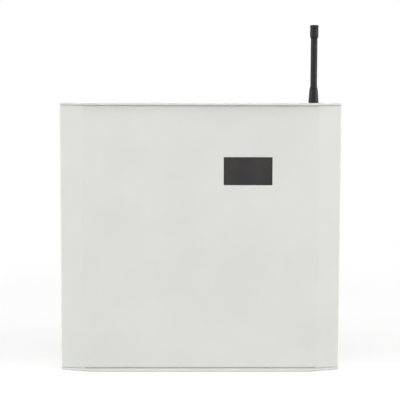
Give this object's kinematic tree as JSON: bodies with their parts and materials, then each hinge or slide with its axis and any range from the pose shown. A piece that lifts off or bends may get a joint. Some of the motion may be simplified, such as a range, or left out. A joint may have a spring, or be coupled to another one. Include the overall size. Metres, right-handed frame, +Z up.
{
  "type": "paging transmitter",
  "caption": "Wall-mounted radio paging transmitter: folded steel box with pull-off bevelled cover, small display window, stub antenna, circuit boards, line terminals and back-up battery.",
  "frame": {"origin": "middle of the four wall holes, on the plane that lies against the wall", "axes": "+X to the right seen from the front, +Y into the wall, +Z up"},
  "size_m": [0.3054, 0.07, 0.3715],
  "materials": {
    "case_paint": "fine-textured powder coat",
    "smoked_pane": "smoked acrylic, polished",
    "black_foam": "closed-cell foam",
    "zinc_steel": "zinc plated",
    "black_rubber": "satin moulded rubber",
    "copper_wire": "bare copper",
    "white_plastic": "moulded",
    "gold_brass": "gold plated",
    "nickel": "nickel plated",
    "brown_cable": "smooth jacket",
    "green_board": "solder mask",
    "black_plastic": "moulded",
    "display_glass": "polarised display glass",
    "brass_pillar": "turned",
    "blue_plastic": "moulded",
    "grey_ribbon": "ribbed ribbon",
    "capacitor_sleeve": "shrink sleeve",
    "black_aluminium": "black anodised",
    "green_plastic": "moulded",
    "fuse_glass": "clear tube with nickel caps",
    "lamp_green": "tinted lens",
    "tin_plate": "tinned",
    "battery_case": "moulded",
    "red_insulation": "smooth",
    "black_insulation": "smooth"
  },
  "bodies": {
    "chassis": {"base_chassis": "case_paint", "battery_pad": "black_foam", "cover_screws": "zinc_steel", "cover_nuts": "zinc_steel", "board_screws": "zinc_steel", "bracket_screws": "zinc_steel", "terminal_screws": "zinc_steel", "battery_bracket": "zinc_steel", "battery_socket": "white_plastic", "antenna_jack": "gold_brass", "jack_nut": "gold_brass", "coax_plug": "gold_brass", "battery_terminals": "gold_brass", "jack_washer": "nickel", "fuse_clips": "nickel", "coax_lead": "brown_cable", "display_board": "green_board", "main_board": "green_board", "radio_board": "green_board", "display_frame": "black_plastic", "key_housings": "black_plastic", "logic_chips": "black_plastic", "regulator": "black_plastic", "ribbon_headers": "black_plastic", "ribbon_plugs": "black_plastic", "data_socket": "black_plastic", "power_inlet": "black_plastic", "display_glass": "display_glass", "display_pillars": "brass_pillar", "board_pillars": "brass_pillar", "contrast_trimmer": "blue_plastic", "ribbon_cable": "grey_ribbon", "board_capacitors": "capacitor_sleeve", "regulator_heat_sink": "black_aluminium", "radio_heat_sink": "black_aluminium", "line_terminals": "green_plastic", "fuse": "fuse_glass", "status_lamps": "lamp_green", "radio_shield": "tin_plate", "battery": "battery_case", "battery_lead_red": "red_insulation", "lead_receptacles": "red_insulation", "battery_lead_black": "black_insulation"},
    "cover": {"front_cover": "case_paint", "display_window": "smoked_pane", "window_gasket": "black_foam"},
    "antenna_contact": {"antenna_pin": "gold_brass", "antenna_insulator": "white_plastic"},
    "antenna": {"antenna_sleeve": "black_rubber", "antenna_cap": "black_rubber", "antenna_coil": "copper_wire", "antenna_former": "white_plastic", "antenna_nut": "gold_brass"},
    "up_key": {"up_key": "black_plastic"},
    "down_key": {"down_key": "black_plastic"},
    "enter_key": {"enter_key": "black_plastic"},
    "back_key": {"back_key": "black_plastic"},
    "trimmer_rotor": {"trimmer_rotor": "white_plastic"}
  },
  "joints": [
    {"name": "cover_slide", "type": "slide", "parent": "chassis", "child": "cover", "axis": [0, -1, 0], "range_m": [0, 0.08]},
    {"name": "antenna_lift", "type": "slide", "parent": "chassis", "child": "antenna_contact", "axis": [0, 0, 1], "range_m": [0, 0.00424]},
    {"name": "antenna_turn", "type": "hinge", "parent": "antenna_contact", "child": "antenna", "pos_m": [0.1224, -0.0335, 0.144], "axis": [0, 0, 1], "range_deg": [0, 2160]},
    {"name": "up_key_press", "type": "slide", "parent": "chassis", "child": "up_key", "axis": [0, 1, 0], "range_m": [0, 0.00025], "stiffness_N_per_m": 6000},
    {"name": "down_key_press", "type": "slide", "parent": "chassis", "child": "down_key", "axis": [0, 1, 0], "range_m": [0, 0.00025], "stiffness_N_per_m": 6000},
    {"name": "enter_key_press", "type": "slide", "parent": "chassis", "child": "enter_key", "axis": [0, 1, 0], "range_m": [0, 0.00025], "stiffness_N_per_m": 6000},
    {"name": "back_key_press", "type": "slide", "parent": "chassis", "child": "back_key", "axis": [0, 1, 0], "range_m": [0, 0.00025], "stiffness_N_per_m": 6000},
    {"name": "trimmer_turn", "type": "hinge", "parent": "chassis", "child": "trimmer_rotor", "pos_m": [0.0785, -0.0535, 0.0318], "axis": [0, 1, 0], "range_deg": [-135, 135]}
  ],
  "couplings": [
    {"joint": "antenna_turn", "follows": "antenna_lift", "rad_per_m": 8899.7}
  ]
}
